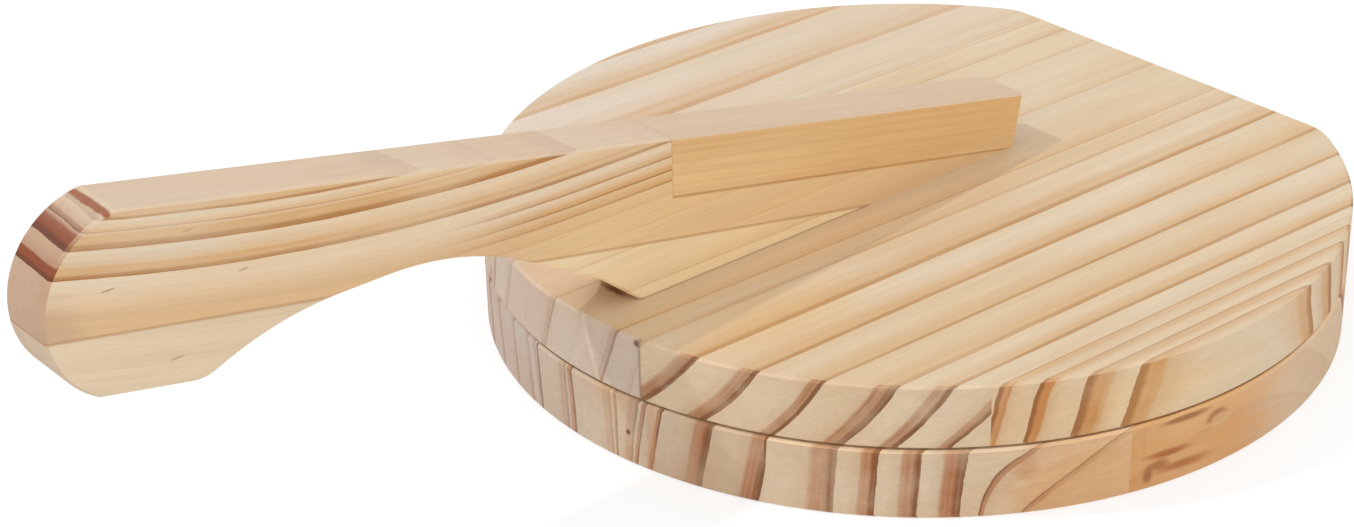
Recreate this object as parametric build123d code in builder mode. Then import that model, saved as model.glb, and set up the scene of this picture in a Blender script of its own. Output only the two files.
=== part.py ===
from build123d import *
from math import atan2, cos, radians, sin, sqrt, tan
import os

# Wooden dumpling wrapper press, closed, in millimetres.
# Origin: centre of the round boards on the face that the press rests on.
# +Z is up, +Y points to the flat side with the hinges, and the handle reaches towards -Y.

# Boards: two discs with one flat side each
plate_radius = 90
flat_cut_depth = 12
flat_corner_radius = 12
base_thickness = 14.6
press_thickness = 13.2
closed_gap = 0.5
board_edge_chamfer = 0.5

# Planks that each board is glued from: the outer two by their width, the inner ones share the rest
base_left_plank_width = 21
base_right_plank_width = 47
press_left_plank_width = 52
press_right_plank_width = 16
inner_plank_count = 2
finger_joint_y = -24
finger_length = 8
finger_pitch = 8

# Handle, a strip on edge along the middle of the upper board
handle_thickness = 12.4
handle_slope = 11.9
handle_setback = 12
foot_length = 102
rear_face_height = 11.6
grip_overhang = 111
pommel_depth = 33.4
pommel_corner_radius = 8
end_bulge = 0.9
end_corner_radius = 2
neck_height = 25.5
neck_length = 10
neck_grip_radius = 66
neck_foot_radius = 60
throat_slope = 30
throat_corner_radius = 8
foot_front_slope = 39.5
foot_face_height = 8
handle_edge_chamfer = 0.5

# Glue lines between the strips of the handle
rear_block_depth = 12.5
rear_block_length = 93.5
foot_glue_length = 60
foot_glue_slope = 11.3

# Two countersunk screws from under the press board into the handle
handle_screw_radius = 1.75
handle_screw_head_radius = 3.5
handle_screw_length = 25
handle_screw_front_inset = 18
handle_screw_rear_inset = 24
screw_head_sink = 0.3

# Two small butt hinges on the flat side
hinge_length = 25
hinge_edge_margin = 4.4
leaf_width = 11.5
leaf_thickness = 1
leaf_corner_radius = 1.5
barrel_radius = 1.9
barrel_standoff = 0.2
knuckle_count = 5
knuckle_gap = 0.2
pin_radius = 0.95
pin_running_clearance = 0.05
pin_end_reach = 0.5
hinge_screw_radius = 1.1
hinge_screw_head_radius = 2.2
hinge_screw_length = 9
hinge_screw_edge = 5
hinge_screw_height = 7

# Cross recess in every screw head, as shares of that head's radius
recess_reach = 0.62
recess_width = 0.3
recess_depth = 0.42
screw_tip_share = 1.6

# Places worked out from the sizes above
press_bottom = base_thickness + closed_gap
board_top = press_bottom + press_thickness
flat_y = plate_radius - flat_cut_depth
flat_half_width = sqrt(plate_radius**2 - flat_y**2)
foot_front_y = handle_setback - plate_radius
handle_rear_y = foot_front_y + foot_length
grip_end_y = -plate_radius - grip_overhang
slope = radians(handle_slope)
axis_y = flat_y + barrel_standoff + barrel_radius
axis_z = base_thickness + closed_gap / 2
hinge_centre_x = flat_half_width - hinge_edge_margin - hinge_length / 2


def countersunk_screw(head_radius, shank_radius, length, recessed=True):
    """A wood screw whose head face lies on Z = 0 and whose shank points down."""
    tip_start = screw_tip_share * shank_radius - length
    with BuildPart() as screw:
        with BuildSketch(Plane.XZ):
            with BuildLine():
                Polyline(
                    (0, 0),
                    (head_radius, 0),
                    (shank_radius, shank_radius - head_radius),
                    (shank_radius, tip_start),
                    (0, -length),
                    close=True,
                )
            make_face()
        revolve(axis=Axis.Z)
        if recessed:
            with BuildSketch(Plane.XY):
                Rectangle(2 * recess_reach * head_radius, recess_width * head_radius)
                Rectangle(recess_width * head_radius, 2 * recess_reach * head_radius)
            extrude(amount=-recess_depth * head_radius, mode=Mode.SUBTRACT)
    return screw.part


# Where the screws sit: each plane's Z axis points out of the screw's head
hinge_centres = {"left": -hinge_centre_x, "right": hinge_centre_x}
hinge_screw_reach = hinge_length / 2 - hinge_screw_edge
hinge_screw_x = [
    centre + side * hinge_screw_reach for centre in hinge_centres.values() for side in (-1, 1)
]
leaf_face_y = flat_y + leaf_thickness
hinge_screw_places = {
    "base": [Plane((x, leaf_face_y, axis_z - hinge_screw_height), z_dir=(0, 1, 0)) for x in hinge_screw_x],
    "press": [Plane((x, leaf_face_y, axis_z + hinge_screw_height), z_dir=(0, 1, 0)) for x in hinge_screw_x],
}
handle_screw_places = [
    Plane((0, y, press_bottom + screw_head_sink), z_dir=(0, 0, -1))
    for y in (foot_front_y + handle_screw_front_inset, handle_rear_y - handle_screw_rear_inset)
]
hinge_screw_hole = countersunk_screw(hinge_screw_head_radius, hinge_screw_radius, hinge_screw_length, False)
handle_screw_hole = countersunk_screw(handle_screw_head_radius, handle_screw_radius, handle_screw_length, False)


def board_blank(bottom, thickness, screw_side):
    """A round board with its flat side, softened edges and the holes for its hinge screws."""
    with BuildPart() as board:
        with BuildSketch(Plane.XY.offset(bottom)):
            Circle(plate_radius)
            with Locations((0, flat_y - plate_radius)):
                Rectangle(2 * plate_radius, 2 * plate_radius, mode=Mode.INTERSECT)
            fillet(vertices().group_by(Axis.Y)[-1], flat_corner_radius)
        extrude(amount=thickness)
        chamfer(edges().group_by(Axis.Z)[0] + edges().group_by(Axis.Z)[-1], board_edge_chamfer)
        with Locations(*hinge_screw_places[screw_side]):
            add(hinge_screw_hole, mode=Mode.SUBTRACT)
    return board.part


def plank_strips(left_width, right_width):
    """The left and right side of every plank across a board, from the widths of the outer two."""
    inner_width = (2 * plate_radius - left_width - right_width) / inner_plank_count
    joints = [left_width - plate_radius + index * inner_width for index in range(inner_plank_count + 1)]
    sides = [-plate_radius, *joints, plate_radius]
    return list(zip(sides[:-1], sides[1:]))


def plank(board, left, right):
    """The part of a glued board between two joints, or between a joint and the board's edge."""
    with BuildPart() as piece:
        add(board)
        if left > -plate_radius:
            split(bisect_by=Plane.YZ.offset(left), keep=Keep.TOP)
        if right < plate_radius:
            split(bisect_by=Plane.YZ.offset(right), keep=Keep.BOTTOM)
    return piece.part


# Lower board: its last plank is finger-jointed end to end
base_board = board_blank(0, base_thickness, "base")
base_strips = plank_strips(base_left_plank_width, base_right_plank_width)
base_planks = {}
for number, (left, right) in enumerate(base_strips[:-1], start=1):
    base_planks[f"base_plank_{number}"] = plank(base_board, left, right)

last_left = base_strips[-1][0]
finger_steps = int((plate_radius - last_left) / (finger_pitch / 2)) + 2
finger_points = [
    (last_left + step * finger_pitch / 2, finger_joint_y + (-1) ** step * finger_length / 2)
    for step in range(finger_steps)
]
front_corner_y = -plate_radius - finger_length
with BuildPart() as front_zone:
    with BuildSketch(Plane.XY):
        with BuildLine():
            Polyline(
                *finger_points,
                (finger_points[-1][0], front_corner_y),
                (last_left, front_corner_y),
                close=True,
            )
        make_face()
    extrude(amount=base_thickness)

last_plank = plank(base_board, *base_strips[-1])
last_name = f"base_plank_{len(base_strips)}"
with BuildPart() as last_plank_front:
    add(last_plank)
    add(front_zone.part, mode=Mode.INTERSECT)
base_planks[last_name + "_front"] = last_plank_front.part
with BuildPart() as last_plank_rear:
    add(last_plank)
    add(front_zone.part, mode=Mode.SUBTRACT)
base_planks[last_name + "_rear"] = last_plank_rear.part

# Upper board, with the holes for the screws that hold the handle
with BuildPart() as press_board:
    add(board_blank(press_bottom, press_thickness, "press"))
    with Locations(*handle_screw_places):
        add(handle_screw_hole, mode=Mode.SUBTRACT)
        Cylinder(
            handle_screw_head_radius,
            screw_head_sink,
            align=(Align.CENTER, Align.CENTER, Align.MIN),
            mode=Mode.SUBTRACT,
        )
press_planks = {}
press_strips = plank_strips(press_left_plank_width, press_right_plank_width)
for number, (left, right) in enumerate(press_strips, start=1):
    press_planks[f"press_plank_{number}"] = plank(press_board.part, left, right)

# Handle outline in the YZ plane, with heights measured from the board's top.
# The strip's top edge climbs towards the grip. Its end is an arc a little larger than
# a half circle's radius, so that it meets the top edge and the underside in soft corners.
half_depth = pommel_depth / 2
end_radius = half_depth + end_bulge
rear_bottom = Vector(handle_rear_y, 0)
rear_top = rear_bottom + Vector(sin(slope), cos(slope)) * rear_face_height
end_centre_y = grip_end_y + end_radius
end_centre_height = rear_top.Y + (rear_top.X - end_centre_y) * tan(slope) - half_depth / cos(slope)
end_centre = Vector(end_centre_y, end_centre_height)
outwards = Vector(-cos(slope), sin(slope))
upwards = Vector(sin(slope), cos(slope))
corner_offset = sqrt(end_radius**2 - half_depth**2)
end_top = end_centre + upwards * half_depth + outwards * corner_offset
end_tip = end_centre + outwards * end_radius
end_bottom = end_centre - upwards * half_depth + outwards * corner_offset

# The foot's steep front face leads into a straight throat, and an arc brings that level under the neck
face_angle = radians(foot_front_slope)
throat_angle = radians(throat_slope)
foot_face_end = Vector(foot_front_y - foot_face_height / tan(face_angle), foot_face_height)
foot_arc_rise = neck_foot_radius * (1 - cos(throat_angle))
throat_rise = neck_height - foot_face_height - foot_arc_rise
throat_end = foot_face_end + Vector(-throat_rise / tan(throat_angle), throat_rise)
neck_rear = throat_end + Vector(-neck_foot_radius * sin(throat_angle), foot_arc_rise)
foot_arc_middle = neck_rear + Vector(sin(throat_angle / 2), cos(throat_angle / 2) - 1) * neck_foot_radius
neck_front = neck_rear - Vector(neck_length, 0)

# The arch meets the straight underside of the pommel piece where that line cuts its circle
arch_centre = neck_front - Vector(0, neck_grip_radius)
to_centre = arch_centre - end_bottom
along = -to_centre.dot(outwards)
across = to_centre + outwards * along
reach = along - sqrt(neck_grip_radius**2 - across.dot(across))
pommel_corner = end_bottom - outwards * reach
corner_angle = atan2(pommel_corner.Y - arch_centre.Y, pommel_corner.X - arch_centre.X)
middle_angle = (corner_angle + radians(90)) / 2
grip_arc_middle = arch_centre + Vector(cos(middle_angle), sin(middle_angle)) * neck_grip_radius

side_plane = Plane((-handle_thickness / 2, 0, board_top), x_dir=(0, 1, 0), z_dir=(1, 0, 0))
with BuildPart() as handle_blank:
    with BuildSketch(side_plane):
        with BuildLine():
            Line(rear_bottom, rear_top)
            Line(rear_top, end_top)
            ThreePointArc(end_top, end_tip, end_bottom)
            Line(end_bottom, pommel_corner)
            ThreePointArc(pommel_corner, grip_arc_middle, neck_front)
            Line(neck_front, neck_rear)
            ThreePointArc(neck_rear, foot_arc_middle, throat_end)
            Line(throat_end, foot_face_end)
            Line(foot_face_end, (foot_front_y, 0))
            Line((foot_front_y, 0), rear_bottom)
        make_face()
        fillet(vertices().sort_by_distance(pommel_corner)[0], pommel_corner_radius)
        fillet(vertices().sort_by_distance(foot_face_end)[0], throat_corner_radius)
        end_corners = [vertices().sort_by_distance(corner)[0] for corner in (end_top, end_bottom)]
        fillet(end_corners, end_corner_radius)
    extrude(amount=handle_thickness)
    side_edges = faces().filter_by(Axis.X).edges()
    free_edges = side_edges.filter_by(lambda edge: edge.center().Z > board_top + handle_edge_chamfer)
    chamfer(free_edges, handle_edge_chamfer)
    with Locations(*handle_screw_places):
        add(handle_screw_hole, mode=Mode.SUBTRACT)

# Glue planes, each with its Z axis pointing up out of the lower strip
seam_y = handle_rear_y - rear_block_length
rear_glue_point = rear_top - Vector(sin(slope), cos(slope)) * rear_block_depth
rear_glue_plane = Plane(
    (0, rear_glue_point.X, board_top + rear_glue_point.Y), x_dir=(1, 0, 0), z_dir=(0, sin(slope), cos(slope))
)
foot_glue_angle = radians(foot_glue_slope)
foot_glue_plane = Plane(
    (0, foot_front_y + foot_glue_length, board_top),
    x_dir=(1, 0, 0),
    z_dir=(0, sin(foot_glue_angle), cos(foot_glue_angle)),
)
seam_plane = Plane((0, seam_y, board_top), z_dir=(0, 1, 0))
neck_plane = Plane((0, neck_rear.X, board_top), z_dir=(0, 1, 0))

with BuildPart() as handle_rear_block:
    add(handle_blank.part)
    split(bisect_by=rear_glue_plane, keep=Keep.TOP)
    split(bisect_by=seam_plane, keep=Keep.TOP)

with BuildPart() as handle_grip:
    add(handle_blank.part)
    split(bisect_by=foot_glue_plane, keep=Keep.TOP)
    add(handle_rear_block.part, mode=Mode.SUBTRACT)

with BuildPart() as handle_foot:
    add(handle_blank.part)
    split(bisect_by=foot_glue_plane, keep=Keep.BOTTOM)
    split(bisect_by=neck_plane, keep=Keep.TOP)

with BuildPart() as handle_pommel:
    add(handle_blank.part)
    split(bisect_by=foot_glue_plane, keep=Keep.BOTTOM)
    split(bisect_by=neck_plane, keep=Keep.BOTTOM)

with BuildPart() as handle_screws:
    with Locations(*handle_screw_places):
        add(countersunk_screw(handle_screw_head_radius, handle_screw_radius, handle_screw_length))

# Hinges: the base leaf has the outer knuckles and grips the pin, the press leaf turns on it
knuckle_pitch = hinge_length / knuckle_count


def hinge_leaf(centre_x, direction, own, bore_radius):
    """A leaf that reaches up (direction 1) or down (-1) from the hinge axis."""
    knuckle_x = [centre_x - hinge_length / 2 + (index + 0.5) * knuckle_pitch for index in range(knuckle_count)]
    own_x = [x for index, x in enumerate(knuckle_x) if index % 2 == own]
    other_x = [x for index, x in enumerate(knuckle_x) if index % 2 != own]
    plate_centre = Vector(centre_x, flat_y + leaf_thickness / 2, axis_z + direction * leaf_width / 2)
    notch_depth = 2 * (barrel_radius + knuckle_gap)
    with BuildPart() as leaf:
        with Locations(plate_centre):
            Box(hinge_length, leaf_thickness, leaf_width)
        outer_corners = edges().filter_by(Axis.Y).sort_by(Axis.Z, reverse=direction > 0)[:2]
        fillet(outer_corners, leaf_corner_radius)
        with Locations(*[(x, flat_y + leaf_thickness / 2, axis_z) for x in other_x]):
            Box(knuckle_pitch + knuckle_gap, leaf_thickness, notch_depth, mode=Mode.SUBTRACT)
        with Locations(*[(x, axis_y, axis_z) for x in own_x]):
            Cylinder(barrel_radius, knuckle_pitch - knuckle_gap, rotation=(0, 90, 0))
        with Locations((centre_x, axis_y, axis_z)):
            Cylinder(bore_radius, hinge_length, rotation=(0, 90, 0), mode=Mode.SUBTRACT)
        with Locations(*hinge_screw_places["press" if direction > 0 else "base"]):
            add(hinge_screw_hole, mode=Mode.SUBTRACT)
    return leaf.part


hinge_parts = {}
for side, centre_x in hinge_centres.items():
    hinge_parts[f"hinge_{side}_base_leaf"] = hinge_leaf(centre_x, -1, 0, pin_radius)
    hinge_parts[f"hinge_{side}_press_leaf"] = hinge_leaf(centre_x, 1, 1, pin_radius + pin_running_clearance)
    with BuildPart() as hinge_pin:
        with Locations((centre_x, axis_y, axis_z)):
            Cylinder(pin_radius, hinge_length + 2 * pin_end_reach, rotation=(0, 90, 0))
        chamfer(edges().filter_by(GeomType.CIRCLE), pin_end_reach / 2)
    hinge_parts[f"hinge_{side}_pin"] = hinge_pin.part

hinge_screw = countersunk_screw(hinge_screw_head_radius, hinge_screw_radius, hinge_screw_length)
for board_name, places in hinge_screw_places.items():
    with BuildPart() as hinge_screws:
        with Locations(*places):
            add(hinge_screw)
    hinge_parts[f"hinge_{board_name}_screws"] = hinge_screws.part

handle_parts = {
    "handle_grip": handle_grip.part,
    "handle_rear_block": handle_rear_block.part,
    "handle_foot": handle_foot.part,
    "handle_pommel": handle_pommel.part,
    "handle_screws": handle_screws.part,
}

os.makedirs("parts", exist_ok=True)
for name, part in {**base_planks, **press_planks, **handle_parts, **hinge_parts}.items():
    part.label = name
    export_step(part, f"parts/{name}.step")
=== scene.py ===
import math
import bpy
from mathutils import Matrix, Vector


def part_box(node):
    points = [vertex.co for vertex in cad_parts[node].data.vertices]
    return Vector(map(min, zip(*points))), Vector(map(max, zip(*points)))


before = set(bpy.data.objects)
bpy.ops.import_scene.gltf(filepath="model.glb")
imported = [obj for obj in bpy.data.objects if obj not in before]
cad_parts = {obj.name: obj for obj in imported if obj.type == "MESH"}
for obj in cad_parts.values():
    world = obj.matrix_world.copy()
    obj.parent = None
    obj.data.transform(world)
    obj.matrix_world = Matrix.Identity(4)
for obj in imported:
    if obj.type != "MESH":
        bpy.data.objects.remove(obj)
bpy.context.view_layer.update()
print("frame loaded:", len(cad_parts), "nodes")

# Camera, as found for the photograph: where it stands around the boards and how it is turned
cameraView = {
    "azimuth": 50.968,      # degrees round from the front towards +X
    "elevation": 27.837,
    "roll": -1.524,
    "distance": 0.599136,   # metres from the middle of the boards
    "aimHeight": 0.012,
    "slideRight": -0.049482,
    "slideUp": -0.005275,
    "focalPixels": 2832.534,
    "imageWidth": 1354,
    "nearest": 0.01,        # metres, where the picture starts
    "sensor": 36.0,         # millimetres
}


def placeCamera(view):
    azimuth, elevation, roll = (math.radians(view[key]) for key in ("azimuth", "elevation", "roll"))
    outwards = Vector((math.sin(azimuth), -math.cos(azimuth), 0))
    back = outwards * math.cos(elevation) + Vector((0, 0, math.sin(elevation)))
    levelRight = Vector((math.cos(azimuth), math.sin(azimuth), 0))
    levelUp = back.cross(levelRight)
    right = levelRight * math.cos(roll) + levelUp * math.sin(roll)
    up = levelUp * math.cos(roll) - levelRight * math.sin(roll)
    place = Vector((0, 0, view["aimHeight"])) + back * view["distance"]
    place += right * view["slideRight"] + up * view["slideUp"]
    data = bpy.data.cameras.new("camera")
    data.sensor_fit = "HORIZONTAL"
    data.sensor_width = view["sensor"]
    data.lens = view["focalPixels"] / view["imageWidth"] * view["sensor"]
    data.clip_start = view["nearest"]
    camera = bpy.data.objects.new("camera", data)
    bpy.context.scene.collection.objects.link(camera)
    camera.matrix_world = Matrix.Translation(place) @ Matrix((right, up, back)).transposed().to_4x4()
    bpy.context.scene.camera = camera


placeCamera(cameraView)
print("camera placed")


# Node helpers: one call adds a node, sets it up and wires it
def put(tree, kind, inputs, output=0, **settings):
    node = tree.nodes.new("ShaderNode" + kind)
    for key, value in settings.items():
        setattr(node, key, value)
    for key, value in inputs.items():
        if isinstance(value, bpy.types.NodeSocket):
            tree.links.new(value, node.inputs[key])
        else:
            node.inputs[key].default_value = value
    return node.outputs[output] if node.outputs else None


def calc(tree, operation, *values, clamp=False):
    return put(tree, "Math", dict(enumerate(values)), operation=operation, use_clamp=clamp)


def smooth(tree, value, low, high, toLow=0.0, toHigh=1.0):
    inputs = {"Value": value, "From Min": low, "From Max": high, "To Min": toLow, "To Max": toHigh}
    return put(tree, "MapRange", inputs, interpolation_type="SMOOTHSTEP")


def mix(tree, share, first, second):
    return put(tree, "Mix", {0: share, 6: first, 7: second}, output=2, data_type="RGBA")


def noise(tree, place, detail=2.0, roughness=0.5, scale=1.0):
    return put(tree, "TexNoise", {"Vector": place, "Scale": scale, "Detail": detail, "Roughness": roughness})


def vector(tree, x, y, z):
    return put(tree, "CombineXYZ", {"X": x, "Y": y, "Z": z})


perMetre = 1000.0    # millimetres


# Place on the piece, in millimetres
def millimetres(tree, coordinates):
    return put(tree, "VectorMath", {0: coordinates.outputs["Object"], "Scale": perMetre}, operation="SCALE")


# A colour as a screen shows it, 0 to 255, made linear
def paint(red, green, blue):
    channels = [value / 255 for value in (red, green, blue)]
    linear = [c / 12.92 if c <= 0.04045 else ((c + 0.055) / 1.055) ** 2.4 for c in channels]
    return (*linear, 1.0)


def newMaterial(name):
    material = bpy.data.materials.new(name)
    material.use_nodes = True
    material.node_tree.nodes.clear()
    return material, material.node_tree


# Pine, as a solid that is cut. All its places are in millimetres.
# A ring line is where "across" is constant after the trunk's turn, bend and lean are taken off.
pine = {
    "across": "X", "along": "Y", "third": "Z",   # across the rings, along the fibres, and the last way
    "turn": 0.017,          # how far the rings drift across for each mm along
    "bend": 0.0, "bendFrom": -90.0,              # curve of the grain, 1/mm, before bendFrom only
    "lean": (0.1, 0.1), "leanOver": (-90, 90),   # slant of the lines on the end grain, between two places
    "bow": 0.0,             # curve of the lines on the end grain, 1/mm
    "middle": 21.7,         # place the last way where the ring places hold: the press board's mid height
    "rings": [],            # place, width of the dark band, strength, way (1: band before the place), fading
    "ringDefaults": (2.0, 0.8, 1, 0),            # what a ring's row may leave out
    "fadeOver": (-130, -95),                     # fading rings come up between these places along
    "soft": 0.30,           # share of a year before the dark band that is tinted
    "slow": 1.6, "quick": 0.7, "jitter": 0.2,    # wandering of the rings
    "faceEarly": (225, 204, 176), "faceWarm": (221, 194, 156),
    "faceLate": (208, 165, 112), "faceEdge": (186, 140, 86),
    "endEarly": (216, 194, 165), "endWarm": (211, 183, 148),
    "endLate": (160, 96, 44), "endEdge": (130, 82, 44),
    "upSheenPaint": (215, 193, 168), "upSheenShare": 0.0, "upSheenBands": 1.0,   # painted sheen: a less saturated tint and calmer bands on faces that look up
    "under": None,          # tint where the ring places are low: from, to, colour, strength
    "patchy": 1.3,          # how much the strength of a ring varies along it
    "faceGain": 1.0, "endGain": 1.0,             # strength of the bands on long grain and on end grain
    "seed": 1.0,
    "edgeHighlight": 0.05,       # painted highlight: the softened edges are made paler
    "seams": [],            # straight lines, as of glue, on the end grain and with onFace on long grain too
    "stains": [],           # zones where the wood itself has another colour, below the bands, and painted light in the handle's shadow
    "spots": [],            # the same above the bands: resin, knots, flecks, and painted shade under the handle's foot
}

# How many cycles of each noise go to a millimetre across the rings, along the fibres and the last way
grainNoises = {
    "slow": {"scales": (0.03, 0.006, 0.03)},
    "quick": {"scales": (0.13, 0.02, 0.13)},
    "jitter": {"scales": (0.9, 0.05, 0.9)},
    "lines": {"scales": (1.9, 0.008, 0.03), "across": "years", "shift": 5.0, "detail": 1.5},
    "patchy": {"scales": (0.12, 0.028, 0.12), "shift": 9.0},
    "fibre": {"scales": (2.4, 0.06, 2.4), "across": "straight", "detail": 4.0, "roughness": 0.62},
    "streak": {"scales": (0.55, 0.012, 0.55), "across": "straight", "detail": 3.0},
    "ray": {"scales": (0.16, 0.4, 3.2), "across": "years"},
    "blotch": {"scales": (0.05, 0.012, 0.05), "shift": 3.0},
}
speckleScale = 2.6
canalScales = {"straight": 0.75, "along": 0.07, "third": 0.75}

# Where a value passes from none to all
ramps = {
    "end": (0.12, 0.62),    # how far the surface faces along the fibres
    "edgeStart": (0.2, 0.5), "edgeStop": (0.97, 0.85),   # slanted surfaces, which are the softened edges
    "up": (0.4, 0.75),      # how far the surface looks up
    "blotch": (0.36, 0.66), "canal": (0.11, 0.05),
}

# How the late wood starts and its edge ends, in shares of the band's width, and the broken fine lines.
# Then how dark each part of a band is on long grain and on end grain.
bandShape = {"late": (-0.12, 0.15), "edge": (-0.50, -0.22), "linesGain": 2.2, "linesLift": 0.35}
bandParts = {
    "face": {"soft": 0.38, "late": 0.34, "edge": 0.28, "lines": 0.30},
    "end": {"soft": 0.16, "late": 0.66, "edge": 0.26, "lines": 0.36},
}

# What each part of the grain does to the lightness, the height and the roughness of the sanded surface
sanded = {
    "light": {"fibre": 0.24, "streak": 0.17, "speckle": 0.10, "ray": 0.14, "canal": -0.07},
    "height": {"fibre": 0.6, "late": 0.3, "canal": -0.5, "ray": 0.4},
    "roughness": {"level": 0.52, "late": -0.08, "fibre": 0.14, "end": 0.08},
    "bumpStrength": 0.35, "bumpDepth": 0.00015,  # metres
    "refraction": 1.45,
}


def splitVector(tree, value):
    node = tree.nodes.new("ShaderNodeSeparateXYZ")
    tree.links.new(value, node.inputs[0])
    return node.outputs


# Where a point lies in the wood, and which way its surface faces
def grainSpace(tree, wood):
    coordinates = tree.nodes.new("ShaderNodeTexCoord")
    place = millimetres(tree, coordinates)
    split, facing = splitVector(tree, place), splitVector(tree, coordinates.outputs["Normal"])
    grain = {key: split[wood[key]] for key in ("across", "along", "third")}
    grain["place"], grain["up"] = place, facing["Z"]
    grain["end"] = smooth(tree, calc(tree, "ABSOLUTE", facing[wood["along"]]), *ramps["end"])
    flat = calc(tree, "ABSOLUTE", facing[wood["third"]])
    slanted = smooth(tree, flat, *ramps["edgeStart"])
    grain["edge"] = calc(tree, "MULTIPLY", slanted, smooth(tree, flat, *ramps["edgeStop"]))
    return grain


def grainNoise(tree, wood, grain, name):
    settings = grainNoises[name]
    scales, seed = settings["scales"], wood["seed"] + settings.get("shift", 0.0)
    moved = calc(tree, "MULTIPLY_ADD", grain[settings.get("across", "across")], scales[0], seed)
    place = vector(tree, moved, calc(tree, "MULTIPLY", grain["along"], scales[1]),
                   calc(tree, "MULTIPLY", grain["third"], scales[2]))
    return noise(tree, place, detail=settings.get("detail", 2.0), roughness=settings.get("roughness", 0.5))


# Adds a noise, taken about its middle, to a value
def wanderBy(tree, wander, value, amount):
    return calc(tree, "MULTIPLY_ADD", calc(tree, "SUBTRACT", wander, 0.5), amount, value)


# Adds "straight", the place among the rings, and "years", the same with the wandering
def addYears(tree, wood, grain):
    across, along = grain["across"], grain["along"]
    years = calc(tree, "MULTIPLY_ADD", along, -wood["turn"], across)
    if wood["bend"]:
        before = calc(tree, "MAXIMUM", calc(tree, "SUBTRACT", wood["bendFrom"], along), 0.0)
        years = calc(tree, "MULTIPLY_ADD", calc(tree, "POWER", before, 2.0), -wood["bend"], years)
    lean = smooth(tree, across, *wood["leanOver"], *wood["lean"])
    offMiddle = calc(tree, "SUBTRACT", grain["third"], wood["middle"])
    years = calc(tree, "SUBTRACT", years, calc(tree, "MULTIPLY", lean, offMiddle))
    years = calc(tree, "MULTIPLY_ADD", calc(tree, "MULTIPLY", offMiddle, offMiddle), -wood["bow"], years)
    grain["straight"] = years
    wanders = {name: grainNoise(tree, wood, grain, name) for name in ("slow", "quick", "jitter")}
    for name, wander in wanders.items():
        years = wanderBy(tree, wander, years, wood[name])
    grain["years"] = years


# Which band each year holds: one before its end, one after its start, or none.
# A row of the table is the band's strength, its share of the year, whether it is turned round, and fading.
def yearTable(wood):
    rings = sorted((*ring, *wood["ringDefaults"][len(ring) - 1:]) for ring in wood["rings"])
    widestShare, emptyShare = 0.9, 0.2
    table = []
    for low, high in zip(rings, rings[1:]):
        gap = high[0] - low[0]
        if high[3] > 0:
            table.append((high[2], min(high[1] / gap, widestShare), 0.0, high[4]))
        elif low[3] < 0:
            table.append((low[2], min(low[1] / gap, widestShare), 1.0, low[4]))
        else:
            table.append((0.0, emptyShare, 1.0, 0))
    return [ring[0] for ring in rings], table


# Years and their fraction since the first ring, by a curve with a point at each ring
def countYears(tree, years, places):
    start, end, last = places[0], places[-1], len(places) - 1
    share = calc(tree, "DIVIDE", calc(tree, "SUBTRACT", years, start), end - start, clamp=True)
    node = tree.nodes.new("ShaderNodeFloatCurve")
    curve = node.mapping.curves[0]
    for index, place in enumerate(places[1:-1], start=1):
        curve.points.new((place - start) / (end - start), index / last)
    for point in curve.points:
        point.handle_type = "VECTOR"
    node.mapping.update()
    tree.links.new(share, node.inputs["Value"])
    justUnder = 0.0005    # so that the last place still counts as the last year
    return calc(tree, "MULTIPLY", node.outputs[0], last - justUnder)


# A year's row of the table, read off a colour ramp with a constant step for each year
def lookUp(tree, table, year):
    node = tree.nodes.new("ShaderNodeValToRGB")
    ramp = node.color_ramp
    ramp.interpolation = "CONSTANT"
    ramp.elements.remove(ramp.elements[1])
    for index, row in enumerate(table):
        element = ramp.elements.new(index / len(table)) if index else ramp.elements[0]
        element.position, element.color = index / len(table), row
    tree.links.new(calc(tree, "DIVIDE", calc(tree, "ADD", year, 0.5), float(len(table))), node.inputs[0])
    split = tree.nodes.new("ShaderNodeSeparateColor")
    tree.links.new(node.outputs["Color"], split.inputs[0])
    return (*split.outputs[:3], node.outputs["Alpha"])


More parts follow.
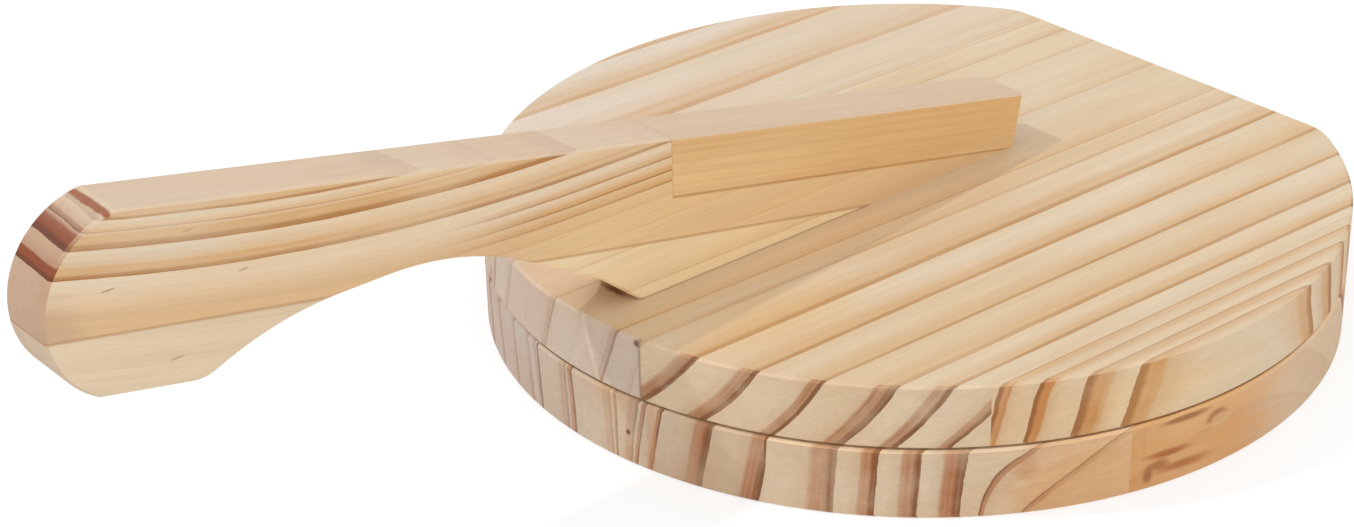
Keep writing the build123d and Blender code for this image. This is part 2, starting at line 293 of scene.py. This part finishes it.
# Late wood: each year darkens slowly, holds a dark band of fine lines and ends sharply
def addBands(tree, wood, grain):
    places, table = yearTable(wood)
    count = countYears(tree, grain["years"], places)
    strength, share, backwards, fading = lookUp(tree, table, calc(tree, "FLOOR", count))
    season = calc(tree, "FRACT", count)
    turned = calc(tree, "MULTIPLY_ADD", season, -2.0, 1.0)    # what makes season into 1 - season
    season = calc(tree, "MULTIPLY_ADD", turned, backwards, season)
    if any(row[3] for row in table):
        low = smooth(tree, grain["along"], *wood["fadeOver"], 1.0, 0.0)
        fade = calc(tree, "MULTIPLY_ADD", calc(tree, "MULTIPLY", low, fading), -1.0, 1.0)
        strength = calc(tree, "MULTIPLY", strength, fade)
    lateStart = calc(tree, "SUBTRACT", 1.0, share)
    soft = smooth(tree, season, calc(tree, "SUBTRACT", lateStart, wood["soft"]), lateStart)

    def within(base, parts):
        return smooth(tree, season, *(calc(tree, "MULTIPLY_ADD", share, part, base) for part in parts))

    late, edge = within(lateStart, bandShape["late"]), within(1.0, bandShape["edge"])
    lines = calc(tree, "SUBTRACT", grainNoise(tree, wood, grain, "lines"), 0.5)
    lines = calc(tree, "MULTIPLY_ADD", lines, bandShape["linesGain"], bandShape["linesLift"], clamp=True)
    patchy = grainNoise(tree, wood, grain, "patchy")
    strength = calc(tree, "MULTIPLY", strength, wanderBy(tree, patchy, 1.0, wood["patchy"]))

    def blend(parts, gain):
        total = calc(tree, "MULTIPLY_ADD", late, parts["late"], calc(tree, "MULTIPLY", soft, parts["soft"]))
        total = calc(tree, "MULTIPLY_ADD", edge, parts["edge"], total)
        broken = calc(tree, "MULTIPLY_ADD", calc(tree, "MULTIPLY", lines, late), -parts["lines"], 1.0)
        total = calc(tree, "MULTIPLY", calc(tree, "MULTIPLY", total, broken), gain)
        return calc(tree, "MULTIPLY", total, strength, clamp=True)

    grain["faceDark"] = blend(bandParts["face"], wood["faceGain"])
    grain["endDark"] = blend(bandParts["end"], wood["endGain"])
    grain["bandEdge"] = edge
    grain["late"] = calc(tree, "MULTIPLY", late, strength)


# Fibres and streaks run along, resin canals are dots, rays cross the rings on the end grain
def addFibres(tree, wood, grain):
    for name in ("fibre", "streak", "ray"):
        grain[name] = grainNoise(tree, wood, grain, name)
    grain["speckle"] = noise(tree, grain["place"], scale=speckleScale)
    grain["blotch"] = smooth(tree, grainNoise(tree, wood, grain, "blotch"), *ramps["blotch"])
    scaled = [calc(tree, "MULTIPLY", grain[way], scale) for way, scale in canalScales.items()]
    cells = put(tree, "TexVoronoi", {"Vector": vector(tree, *scaled), "Scale": 1.0})
    grain["canal"] = smooth(tree, cells, *ramps["canal"])


# A zone of another colour, as an ellipsoid that the streaks of the grain fray; some zones are painted light
# or painted shade
def zone(at, reach, colour, strength, soft=0.4):
    return {"at": at, "reach": reach, "paint": colour, "strength": strength, "soft": soft}


zoneFraying = 0.5    # how far the streaks move its border, as a share of its reach


def addZones(tree, zones, grain, colour):
    for part in zones:
        offset = put(tree, "VectorMath", {0: grain["place"], 1: part["at"]}, operation="SUBTRACT")
        squeezed = put(tree, "VectorMath", {0: offset, 1: part["reach"]}, operation="DIVIDE")
        away = put(tree, "VectorMath", {0: squeezed}, output=1, operation="LENGTH")
        away = wanderBy(tree, grain["streak"], away, zoneFraying)
        share = smooth(tree, away, 1.0, 1.0 - part["soft"], 0.0, part["strength"])
        colour = mix(tree, share, colour, paint(*part["paint"]))
    return colour


# Long grain and end grain get their colours apart, and the way the surface faces chooses between them
def pineColour(tree, wood, grain):
    face = mix(tree, grain["blotch"], paint(*wood["faceEarly"]), paint(*wood["faceWarm"]))
    if wood["under"]:
        start, end, tint, strength = wood["under"]
        face = mix(tree, smooth(tree, grain["straight"], start, end, 0.0, strength), face, paint(*tint))
    face = addZones(tree, wood["stains"], grain, face)
    faceDark = grain["faceDark"]
    # Painted sheen: faces that look up get a less saturated tint and calmer bands
    if wood["upSheenShare"]:
        up = smooth(tree, grain["up"], *ramps["up"])
        face = mix(tree, calc(tree, "MULTIPLY", up, wood["upSheenShare"]), face, paint(*wood["upSheenPaint"]))
        calm = calc(tree, "MULTIPLY_ADD", up, wood["upSheenBands"] - 1, 1.0)
        faceDark = calc(tree, "MULTIPLY", faceDark, calm)
    faceBand = mix(tree, grain["bandEdge"], paint(*wood["faceLate"]), paint(*wood["faceEdge"]))
    face = mix(tree, faceDark, face, faceBand)
    end = mix(tree, grain["blotch"], paint(*wood["endEarly"]), paint(*wood["endWarm"]))
    end = addZones(tree, wood["stains"], grain, end)
    endBand = mix(tree, grain["bandEdge"], paint(*wood["endLate"]), paint(*wood["endEdge"]))
    end = mix(tree, grain["endDark"], end, endBand)
    return mix(tree, grain["end"], face, end)


seamCore = 0.2    # share of a seam's width that has its full colour


# Straight lines where a plane cuts the surface
def addSeams(tree, wood, grain, colour):
    for seam in wood["seams"]:
        offset = put(tree, "VectorMath", {0: grain["place"], 1: seam["point"]}, operation="SUBTRACT")
        distance = put(tree, "VectorMath", {0: offset, 1: seam["square"]}, output=1, operation="DOT_PRODUCT")
        line = smooth(tree, calc(tree, "ABSOLUTE", distance), seam["width"], seamCore * seam["width"])
        onFace = seam.get("onFace", 0.0)
        shown = calc(tree, "MULTIPLY_ADD", grain["end"], 1.0 - onFace, onFace)
        share = calc(tree, "MULTIPLY", calc(tree, "MULTIPLY", line, shown), seam["strength"])
        colour = mix(tree, share, colour, paint(*seam["paint"]))
    return colour


# Lightness, relief and roughness that the sanded grain adds to the colour, and a painted highlight on the
# softened edges
def woodSurface(tree, grain, wood, colour):
    change, rise, rough = sanded["light"], sanded["height"], sanded["roughness"]
    light = 1.0
    for name in ("fibre", "streak", "speckle"):
        light = wanderBy(tree, grain[name], light, change[name])
    rays = calc(tree, "MULTIPLY", calc(tree, "SUBTRACT", grain["ray"], 0.5), grain["end"])
    light = calc(tree, "MULTIPLY_ADD", rays, change["ray"], light)
    light = calc(tree, "MULTIPLY_ADD", grain["canal"], change["canal"], light)
    # Painted highlight: the softened edges are made paler by edgeHighlight
    light = calc(tree, "MULTIPLY_ADD", grain["edge"], wood["edgeHighlight"], light)
    colour = put(tree, "HueSaturation", {"Value": light, "Color": colour, "Saturation": 1.0, "Fac": 1.0})
    height = calc(tree, "MULTIPLY", grain["late"], rise["late"])
    for part, name in ((grain["fibre"], "fibre"), (grain["canal"], "canal"), (rays, "ray")):
        height = calc(tree, "MULTIPLY_ADD", part, rise[name], height)
    relief = {"Strength": sanded["bumpStrength"], "Distance": sanded["bumpDepth"], "Height": height}
    bump = put(tree, "Bump", relief)
    roughness = rough["level"]
    for name in ("late", "fibre", "end"):
        roughness = calc(tree, "MULTIPLY_ADD", grain[name], rough[name], roughness)
    inputs = {"Base Color": colour, "Roughness": roughness, "Normal": bump, "IOR": sanded["refraction"]}
    shader = put(tree, "BsdfPrincipled", inputs)
    put(tree, "OutputMaterial", {"Surface": shader})


def pineMaterial(name, **changes):
    wood = {**pine, **changes}
    material, tree = newMaterial(name)
    grain = grainSpace(tree, wood)
    addYears(tree, wood, grain)
    addBands(tree, wood, grain)
    addFibres(tree, wood, grain)
    colour = pineColour(tree, wood, grain)
    colour = addZones(tree, wood["spots"], grain, colour)
    colour = addSeams(tree, wood, grain, colour)
    woodSurface(tree, grain, wood, colour)
    return material


def dress(node, material):
    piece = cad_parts[node]
    piece.data.materials.clear()
    piece.data.materials.append(material)
    for slot in piece.material_slots:
        slot.material = material


boardRadius, baseMiddle = 90.0, 7.3    # the second is the base's mid height


# Rings as they are counted along X on the front rim, moved by their drift to the places that pine takes
def rimRings(*rings):
    drift = [pine["turn"] * math.sqrt(max(boardRadius ** 2 - ring[0] ** 2, 0)) for ring in rings]
    return [(ring[0] + moved, *ring[1:]) for ring, moved in zip(rings, drift)]


# The joint on a plank's right side, along X
def jointAt(node):
    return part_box(node)[1][0] * perMetre


# A glue line across the rim at x, leaning to the right by so much for each mm up
def upright(x, width=0.35, strength=0.35, colour=(140, 110, 95), lean=0.0, height=pine["middle"]):
    size = math.hypot(1, lean)
    return {"point": (x, 0, height), "square": (1 / size, 0, -lean / size), "width": width,
            "strength": strength, "paint": colour}


# Planks of the press board, left to right
darkJoint = upright(jointAt("press_plank_2"), 0.5, 0.5, (120, 92, 80))
pressPlanks = {
    "press_plank_1": {
        "rings": rimRings((-103,), (-92, 4.0, 0.9), (-80, 4.5, 0.9), (-61, 6.0, 0.9), (-50, 1.4, 0.3),
                          (-45, 1.0, 0.7), (-33, 3.5, 0.8), (-22,)),
        "lean": (0.7, 0.4),
        "soft": 0.4, "slow": 5.0, "quick": 2.0, "seed": 4.1,
        "faceEarly": (222, 206, 188), "faceWarm": (217, 197, 169),
        "faceLate": (210, 172, 128), "faceEdge": (202, 159, 112),
        "endEarly": (209, 190, 167), "endWarm": (203, 179, 150),
        "seams": [upright(jointAt("press_plank_1"))],
    },
    "press_plank_2": {
        "rings": rimRings((-60,), (-50, 1.2), (-42, 1.2, 0.5), (-34, 1.5, 0.6), (-25.3, 1.6, 0.35),
                          (-16.5, 1.2, 0.1), (-7.6, 2.0, 0.42), (0.5, 1.2, 0.08), (10.4, 1.9, 0.55),
                          (17.6, 1.2, 0.2), (27,)),
        "lean": (0.33, 0.40), "leanOver": (-30, 15),
        "soft": 0.25, "seed": 7.3,
        "faceEarly": (218, 197, 167), "faceWarm": (214, 187, 150),
        "endEarly": (206, 187, 170), "endWarm": (204, 181, 161),
        "endLate": (166, 122, 100), "endEdge": (138, 98, 78),
        "stains": [zone((-13, -84, 28.3), (13, 15, 1.5), (230, 199, 168), 0.7, soft=0.9),
                   # Painted light: the paler zone at (12, -30) lightens the handle's cast shadow on the
                   # board
                   zone((12, -30, 28.5), (8, 60, 3), (235, 197, 149), 0.6, soft=0.9)],
        "spots": [zone((17.4, -88.3, 27.3), (0.9, 3.0, 0.9), (104, 78, 50), 0.9, soft=0.6),
                  # Painted shade: the dark brown patch at (-0.6, -79.3) is the shadow under the front tip of
                  # the handle's foot
                  zone((-0.6, -79.3, 28.4), (5.6, 1.4, 1.5), (150, 84, 40), 0.9, soft=0.9)],
        "seams": [upright(5.1, 0.9, 0.5, (224, 205, 180), lean=-0.31), darkJoint],
    },
    "press_plank_3": {
        "rings": rimRings((2,), (14.0, 3.0, 0.5), (25.75, 4.0, 0.95), (37.75, 3.7, 0.95),
                          (49.3, 2.5, 1.0), (59.8, 3.2, 0.95), (66.9, 2.6, 0.95), (73.5, 1.6, 0.8),
                          (80.0,)),
        "lean": (0.96, 0.56), "leanOver": (10, 62), "bow": -0.012,
        "soft": 0.32, "seed": 2.6,
        "faceEarly": (220, 201, 174), "faceWarm": (216, 190, 154),
        "endEarly": (220, 197, 167), "endWarm": (214, 186, 150),
        "stains": [zone((29, -64, 28.5), (18, 34, 3), (221, 187, 137), 0.75, soft=0.9)],
        "seams": [darkJoint],
    },
    "press_plank_4": {
        "rings": rimRings((69,), (73.9, 1.3, 1.0, -1), (77.9, 1.3, 1.0, -1), (82.2, 1.9, 0.95, -1),
                          (85.9, 1.5, 1.0, -1), (91, 1, 0, -1), (96,)),
        "lean": (0.12, 0.08), "leanOver": (74, 88),
        "soft": 0.35, "slow": 0.6, "quick": 0.8, "jitter": 0.1, "seed": 5.2,
        "faceGain": 1.3, "endGain": 1.25, "upSheenShare": 0.02, "upSheenBands": 0.6,
        "faceEarly": (218, 196, 165), "faceWarm": (215, 189, 154),
        "faceLate": (204, 154, 94), "faceEdge": (178, 126, 68),
        "endEarly": (217, 190, 154), "endWarm": (216, 184, 144),
        "endLate": (190, 122, 58), "endEdge": (146, 86, 38),
        "stains": [zone((87, -25, 21), (10, 38, 8.5), (225, 193, 146), 0.75, soft=0.8)],
    },
}
for node, changes in pressPlanks.items():
    dress(node, pineMaterial(node + "_pine", **changes))
print("press board dressed")

# Planks of the base
glueGap = upright(jointAt("base_plank_2") + 0.15, 0.55, 0.75, (118, 84, 62), lean=-0.1, height=baseMiddle)
orange = {
    "faceEarly": (219, 173, 118), "faceWarm": (209, 150, 92),
    "faceLate": (186, 124, 66), "faceEdge": (152, 94, 46),
    "endEarly": (204, 150, 95), "endWarm": (198, 137, 79),
    "endLate": (162, 94, 44), "endEdge": (126, 72, 34),
}
fingerLine = {"point": (87, -23.5, baseMiddle), "square": (0, 1, 0), "width": 0.35, "strength": 0.5,
              "paint": (150, 90, 50)}
basePlanks = {
    "base_plank_1": {
        "rings": rimRings((-99,), (-91,), (-84.5,), (-77,), (-70.5,), (-62,)),
        "lean": (-0.12, -0.12),
        "seed": 8.4, "edgeHighlight": 0.0,
        "endEarly": (198, 183, 174), "endWarm": (196, 175, 158),
        "seams": [upright(jointAt("base_plank_1"))],
    },
    "base_plank_2": {
        "rings": rimRings((-80,), (-71,), (-63,), (-55,), (-47.5,), (-40,), (-31.5, 1.5, 0.5),
                          (-23.0, 1.0, 0.5), (-16.0, 1.6, 0.45), (-13.2, 0.8, 0.5), (-5,)),
        "lean": (-0.15, -0.15),
        "seed": 3.3, "edgeHighlight": 0.0,
        "endEarly": (197, 181, 170), "endWarm": (196, 171, 151),
        "seams": [glueGap],
    },
    "base_plank_3": {
        "rings": rimRings((-19,), (-12.6, 0.8, 0.3), (-2.7, 2.4, 0.45), (-0.6, 1.5, 0.85),
                          (10.6, 2.2, 0.4), (11.7, 0.6, 0.7), (16.3, 2.2, 0.55), (17.9, 1.0, 0.9),
                          (21.6, 1.1, 1.0), (32.35, 3.6, 0.95), (43.1, 3.6, 0.95), (54.5,)),
        "lean": (-0.09, 0.18), "leanOver": (8, 19),
        "soft": 0.25, "slow": 0.8, "seed": 6.1, "edgeHighlight": 0.12,
        "endEarly": (210, 187, 160), "endWarm": (206, 175, 142), "endLate": (168, 100, 50),
        "stains": [zone((-12, -88, 7.3), (24, 10, 30), (194, 180, 165), 0.6, soft=0.6)],
        "spots": [zone((14.6, -88.8, 6.9), (0.7, 3.0, 0.75), (96, 66, 42), 0.9, soft=0.5),
                  zone((20.2, -87, 7.3), (1.5, 60, 20), (204, 150, 112), 0.45, soft=0.6)],
        "seams": [glueGap],
    },
    "base_plank_4_front": {
        "rings": rimRings((30,), (43.1, 3.6, 0.95), (54.5, 4.2, 0.75), (60.3, 2.4, 1.0),
                          (65.9, 2.5, 0.95), (71.2, 2.6, 0.9), (74.0, 0.9, 0.95, -1),
                          (81.3, 0.9, 0.85, -1), (89, 1.5, 0, -1), (98,)),
        "lean": (0.05, 0.60), "leanOver": (70.5, 78.5),
        "soft": 0.4, "slow": 0.6, "quick": 0.5, "seed": 9.7, "edgeHighlight": 0.32,
        "endLate": (168, 98, 46), "endEdge": (134, 82, 42),
        "stains": [zone((84, -36, 2), (13, 34, 20), (213, 159, 101), 0.75, soft=0.6),
                   zone((77.6, -45.5, 10), (2.2, 6, 4.5), (188, 128, 70), 0.4, soft=0.8)],
        "spots": [zone((87.2, -23.9, 6.0), (1.6, 1.4, 1.2), (132, 70, 40), 0.85, soft=0.6),
                  zone((86.5, -24.6, 2.6), (1.0, 1.6, 0.9), (128, 76, 44), 0.7, soft=0.6)],
        "seams": [fingerLine],
    },
    "base_plank_4_rear": {
        "rings": rimRings((32,), (41,), (50,), (58,), (65,), (74,), (83, 2.5, 0.14, -1),
                          (88.3, 1.5, 0.12, -1), (93, 2, 0.1, -1), (101,)),
        "lean": (0.5, 0.5),
        "seed": 1.9, "edgeHighlight": 0.2,
        **orange,
        "stains": [zone((88.0, 42.0, 7.0), (34.0, 48.0, 24.0), (214, 187, 154), 0.92, soft=0.5)],
        "spots": [zone((87.6, -20.0, 4.8), (3, 3.4, 1.5), (156, 90, 42), 0.75, soft=0.7),
                  zone((87.1, -22.4, 3.2), (2, 1.5, 2.6), (146, 84, 42), 0.75, soft=0.7),
                  zone((88.0, -18.5, 7.0), (3.0, 8.0, 1.1), (168, 92, 42), 0.9, soft=0.7),
                  zone((88.8, -14.0, 3.4), (3.0, 11.0, 1.5), (172, 100, 48), 0.85, soft=0.8),
                  zone((89.0, -14.5, 13.4), (3.0, 8.0, 1.0), (150, 88, 42), 0.8, soft=0.7),
                  zone((90.0, -6.4, 11.0), (3.0, 3.6, 2.0), (150, 90, 46), 0.75, soft=0.5),
                  zone((90.0, -5.4, 10.0), (3.0, 3.5, 2.0), (214, 172, 120), 0.8, soft=0.5)],
        "seams": [fingerLine],
    },
}
for node, changes in basePlanks.items():
    dress(node, pineMaterial(node + "_pine", middle=baseMiddle, **changes))
print("base dressed")

# Handle: the rings run nearly level, rise towards the front end and leave through the sloping top edge
handleGrain = {
    "across": "Z", "along": "Y", "third": "X", "middle": 6.2, "ringDefaults": (1.6, 0.6, -1, 0),
    "turn": -0.01, "bend": 0.0013, "bendFrom": -90.0, "lean": (-0.03, -0.03), "slow": 0.8, "quick": 0.5,
    "upSheenShare": 0.85, "upSheenBands": 0.2, "edgeHighlight": 0.07,
}


# A glue line across the side of the handle, rising towards the front by the angle given
def glueLine(y, degrees, strength, z=28.3, colour=(170, 118, 58), width=0.45):
    tilt = math.radians(degrees)
    return {"point": (0, y, z), "square": (0, math.sin(tilt), math.cos(tilt)), "onFace": 1.0,
            "width": width, "strength": strength, "paint": colour}


gripGlue, rearGlue = glueLine(-18, 11.3, 0.5), glueLine(21.5, 11.9, 0.6)
footGlue = glueLine(0, 0, 0.6, colour=(130, 92, 50), width=0.5)
seamGlue = glueLine(-69.5, 90, 0.35, colour=(176, 136, 88))
gripDrift = handleGrain["turn"] * handleGrain["bendFrom"]    # the rings below are counted at bendFrom
gripRings = [(24,), (30, 1.5, 0.1), (37, 1.5, 0.15), (44, 1.2, 0.15), (48.5, 1.0, 0.3, -1, 1),
             (51.2, 1.2, 0.7, -1, 1), (53.4, 1.2, 0.9, -1, 1), (56.2, 1.2, 0.9, -1, 1), (59.3, 2.2, 0.95),
             (64.5, 2.7, 0.95), (67.6, 0.7, 0.7), (69.6, 1.6, 0.8), (77.5, 1.5, 0.35), (84, 1.5, 0.3),
             (92.9,)]
handlePieces = {
    "handle_grip": {
        "rings": [(place - gripDrift, *rest) for place, *rest in gripRings],
        "soft": 0.5, "seed": 2.2, "faceGain": 0.96, "endGain": 1.9,
        "under": (57.5, 50.0, (217, 177, 128), 0.88),
        "faceEarly": (229, 210, 183), "faceWarm": (229, 202, 165),
        "faceLate": (207, 152, 82), "faceEdge": (172, 114, 48),
        "endEarly": (193, 161, 134), "endWarm": (187, 147, 116),
        "endLate": (138, 64, 22), "endEdge": (104, 50, 20),
        "stains": [zone((6.2, -45, 43), (9, 78, 18), (229, 196, 147), 0.85, soft=0.5)],
        "spots": [zone((6.2, -188.6, 70.6), (1.6, 1.6, 0.22), (140, 108, 74), 0.6),
                  zone((6.2, -172.8, 76.2), (1.6, 1.2, 0.18), (160, 124, 84), 0.5),
                  zone((6.2, -163.3, 65.5), (1.6, 1.2, 0.2), (150, 112, 72), 0.6),
                  zone((6.2, -175.9, 58.7), (1.6, 1.0, 0.2), (120, 84, 52), 0.8),
                  zone((6.2, -167.8, 57.3), (1.6, 0.9, 0.2), (126, 88, 54), 0.8),
                  zone((6.2, -193.5, 63.0), (1.6, 1.1, 0.2), (136, 100, 66), 0.6),
                  zone((0, -187.0, 84.0), (14, 1.1, 1.3), (148, 76, 34), 0.9, soft=0.5),
                  zone((6.2, -200.5, 60), (8, 10, 15), (192, 158, 128), 0.6, soft=0.5)],
        "seams": [gripGlue],
    },
    "handle_rear_block": {
        "rings": [(place,) for place in (28, 31, 33.5, 35, 37.5, 40, 42, 43.5, 46, 50)],
        "ringDefaults": (0.5, 0.18, -1, 0), "turn": -0.21, "bend": 0.0,
        "seed": 6.6, "upSheenPaint": (209, 186, 162),
        **orange,
        "faceEarly": (227, 189, 136), "faceWarm": (222, 178, 122),
        "faceLate": (198, 146, 84), "faceEdge": (182, 128, 66),
        "endEarly": (208, 170, 128),
        "seams": [rearGlue, seamGlue],
    },
    "handle_foot": {
        "rings": [(place,) for place in (0, 7, 15, 22, 30, 39, 46, 54, 63)],
        "ringDefaults": (1.4, 0.3, -1, 0),
        "seed": 3.9, "edgeHighlight": 0.2, "upSheenShare": 0.0,
        "faceEarly": (238, 215, 177), "faceWarm": (236, 209, 165),
        "endEarly": (222, 194, 156), "endWarm": (218, 184, 142),
        # Painted shade: the dark brown patch under the foot's front tip, where it meets the board
        "spots": [zone((-0.6, -79.3, 28.6), (5.6, 1.4, 1.4), (150, 84, 40), 0.9, soft=0.9)],
        "seams": [gripGlue, footGlue],
    },
    "handle_pommel": {
        "rings": [(place,) for place in (0, 9, 17, 26, 33, 41, 50, 58, 67)],
        "ringDefaults": (1.4, 0.12, -1, 0),
        "seed": 4.4, "upSheenShare": 0.0,
        "faceEarly": (226, 204, 174), "faceWarm": (223, 198, 165),
        "endEarly": (208, 186, 160), "endWarm": (206, 180, 152),
        "spots": [zone((6.2, -177.7, 53.7), (1.6, 1.8, 0.22), (160, 128, 92), 0.6)],
        "seams": [gripGlue],
    },
}
for node, changes in handlePieces.items():
    dress(node, pineMaterial(node + "_pine", **{**handleGrain, **changes}))
print("handle dressed")

# Zinc-plated steel of the hinges and screws, with fine scratches along X and worn clouds
steel = {
    "plate": {"colour": (186, 186, 183), "worn": (178, 177, 173), "roughness": 0.36, "brush": 1.2},
    "screw": {"colour": (200, 196, 184), "worn": (168, 162, 150), "roughness": 0.3, "brush": 5.0},
}
scratches = {
    "alongX": 0.25, "detail": 4.0, "fineness": 0.6,
    "dulling": 0.22, "polish": 0.08,             # added to the roughness and taken off it
    "bumpStrength": 0.15, "bumpDepth": 0.00005,  # metres
}
clouds = {"scale": 0.35, "detail": 3.0, "ramp": (0.4, 0.7)}


def steelMaterial(name, metal):
    material, tree = newMaterial(name)
    coordinates = tree.nodes.new("ShaderNodeTexCoord")
    place = millimetres(tree, coordinates)
    ways = (scratches["alongX"], metal["brush"], metal["brush"])
    brushed = put(tree, "VectorMath", {0: place, 1: ways}, operation="MULTIPLY")
    scratch = noise(tree, brushed, detail=scratches["detail"], roughness=scratches["fineness"])
    cloud = noise(tree, place, detail=clouds["detail"], scale=clouds["scale"])
    cloud = smooth(tree, cloud, *clouds["ramp"])
    colour = mix(tree, cloud, paint(*metal["colour"]), paint(*metal["worn"]))
    polished = metal["roughness"] - scratches["polish"]
    roughness = calc(tree, "MULTIPLY_ADD", scratch, scratches["dulling"], polished)
    relief = {"Strength": scratches["bumpStrength"], "Distance": scratches["bumpDepth"], "Height": scratch}
    bump = put(tree, "Bump", relief)
    inputs = {"Base Color": colour, "Metallic": 1.0, "Roughness": roughness, "Normal": bump}
    shader = put(tree, "BsdfPrincipled", inputs)
    put(tree, "OutputMaterial", {"Surface": shader})
    return material


plateSteel = steelMaterial("hinge_zinc", steel["plate"])
screwSteel = steelMaterial("screw_zinc", steel["screw"])
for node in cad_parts:
    if "screws" in node:
        dress(node, screwSteel)
    elif node.startswith("hinge"):
        dress(node, plateSteel)
print("hardware dressed")

# White table and soft light
white = (1, 1, 1, 1)
studio = {
    "floorSize": 6.0,       # metres
    "floorGlow": 0.70, "floorSeen": 0.35,        # glow and grey of the floor as the camera sees it
    "floorBounce": 0.8,     # grey of the floor as the object sees it
    "worldLight": 0.82,     # on the object only, as the camera sees a world of 1
    "key": {"travel": (0.50, 0.62, -1.0), "strength": 0.75, "angle": 2.0},         # angle in degrees
    "fill": {"travel": (-0.95, 0.20, -0.45), "strength": 0.5, "angle": 60.0},
}


def seenDirectly(tree):
    path = tree.nodes.new("ShaderNodeLightPath")
    seen = calc(tree, "MAXIMUM", path.outputs["Is Camera Ray"], path.outputs["Is Glossy Ray"])
    return calc(tree, "MAXIMUM", seen, path.outputs["Is Transmission Ray"])


def makeFloor(light):
    half = light["floorSize"] / 2
    mesh = bpy.data.meshes.new("floor")
    corners = [(-half, -half, 0), (half, -half, 0), (half, half, 0), (-half, half, 0)]
    mesh.from_pydata(corners, [], [(0, 1, 2, 3)])
    floor = bpy.data.objects.new("floor", mesh)
    bpy.context.scene.collection.objects.link(floor)
    material, tree = newMaterial("white_table")
    seen = seenDirectly(tree)
    shade = calc(tree, "MULTIPLY_ADD", seen, light["floorSeen"] - light["floorBounce"], light["floorBounce"])
    diffuse = put(tree, "BsdfDiffuse", {"Color": vector(tree, shade, shade, shade)})
    strength = calc(tree, "MULTIPLY", seen, light["floorGlow"])
    glow = put(tree, "Emission", {"Color": white, "Strength": strength})
    both = put(tree, "AddShader", {0: diffuse, 1: glow})
    put(tree, "OutputMaterial", {"Surface": both})
    mesh.materials.append(material)


def makeWorld(light):
    world = bpy.data.worlds.new("studio")
    world.use_nodes = True
    tree = world.node_tree
    tree.nodes.clear()
    strength = calc(tree, "MULTIPLY_ADD", seenDirectly(tree), 1.0 - light["worldLight"], light["worldLight"])
    background = put(tree, "Background", {"Color": white, "Strength": strength})
    put(tree, "OutputWorld", {"Surface": background})
    bpy.context.scene.world = world


def makeSun(name, travel, strength, angle):
    data = bpy.data.lights.new(name, "SUN")
    data.energy = strength
    data.angle = math.radians(angle)
    sun = bpy.data.objects.new(name, data)
    bpy.context.scene.collection.objects.link(sun)
    sun.rotation_mode = "QUATERNION"
    sun.rotation_quaternion = Vector(travel).to_track_quat("-Z", "Y")


makeFloor(studio)
makeWorld(studio)
for name in ("key", "fill"):
    makeSun(name, **studio[name])
bpy.context.scene.view_settings.view_transform = "Standard"
print("studio lit")
